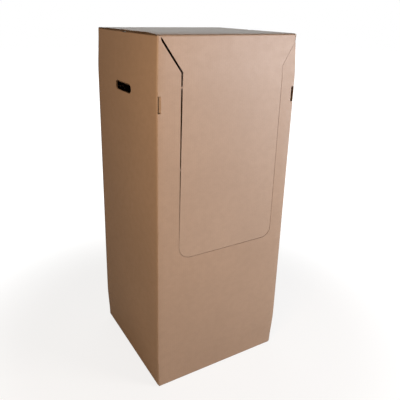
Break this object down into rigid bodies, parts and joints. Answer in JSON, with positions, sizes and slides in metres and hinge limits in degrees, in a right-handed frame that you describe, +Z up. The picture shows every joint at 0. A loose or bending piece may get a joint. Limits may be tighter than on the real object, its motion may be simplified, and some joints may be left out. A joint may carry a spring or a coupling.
{
  "type": "wardrobe moving box",
  "caption": "Tall corrugated wardrobe carton with a tear-out front door hinged at the top crease, two top flaps, side hand holes and a hanger rail laid across its walls.",
  "frame": {"origin": "on the floor under the middle of the carton", "axes": "+Z up the carton, -Y out of the front door, +X to the right as seen from the front"},
  "size_m": [0.508, 0.483, 1.22],
  "materials": {
    "kraft_board": "matt brown kraft liner with faint fluting",
    "galvanised_steel": "dull galvanised"
  },
  "bodies": {
    "carton": {"carton_body": "kraft_board", "hanger_rail": "galvanised_steel"},
    "front_flap": {"front_top_flap": "kraft_board"},
    "rear_flap": {"rear_top_flap": "kraft_board"},
    "door": {"front_door": "kraft_board"}
  },
  "joints": [
    {"name": "front_flap_crease", "type": "hinge", "parent": "carton", "child": "front_flap", "pos_m": [0, -0.2415, 1.22], "axis": [1, 0, 0], "range_deg": [0, 265]},
    {"name": "rear_flap_crease", "type": "hinge", "parent": "carton", "child": "rear_flap", "pos_m": [0, 0.2415, 1.22], "axis": [-1, 0, 0], "range_deg": [0, 265]},
    {"name": "door_crease", "type": "hinge", "parent": "carton", "child": "door", "pos_m": [0, -0.2415, 1.22], "axis": [-1, 0, 0], "range_deg": [0, 265]}
  ]
}
